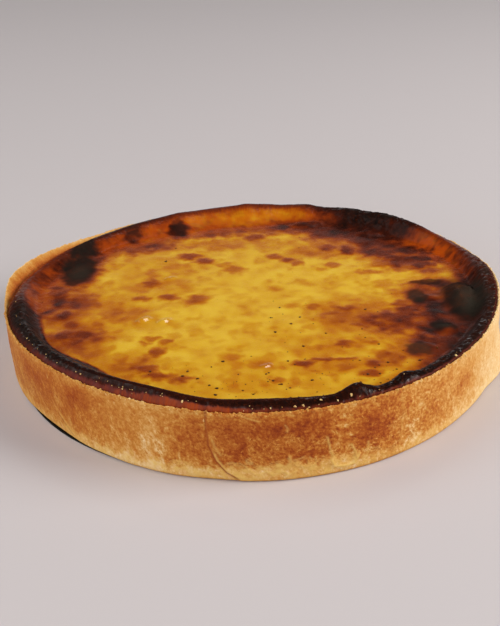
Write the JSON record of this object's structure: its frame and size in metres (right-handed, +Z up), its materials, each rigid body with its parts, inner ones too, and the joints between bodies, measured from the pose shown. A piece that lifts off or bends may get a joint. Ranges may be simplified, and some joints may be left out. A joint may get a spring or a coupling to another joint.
{
  "type": "custard flan",
  "caption": "Round baked custard flan: a low pastry shell with a set custard whose skin has burnt round the edge, on the thin loose base of its tin.",
  "frame": {"origin": "under the middle of the pastry shell, on the surface that the tin base stands on", "axes": "+Z up, out of the custard; -Y is the front, where the joint of the pastry strip shows; +X is to the right of it"},
  "size_m": [0.247, 0.243, 0.0369],
  "materials": {
    "dark_steel": "dark non-stick coated sheet steel, satin",
    "pastry": "baked shortcrust pastry, dry and flaky, golden brown",
    "custard": "set egg custard with a glossy skin, yellow in the middle and burnt dark brown at the edge"
  },
  "bodies": {
    "root": {"tin_base": "dark_steel", "crust": "pastry", "custard": "custard"}
  },
  "joints": []
}
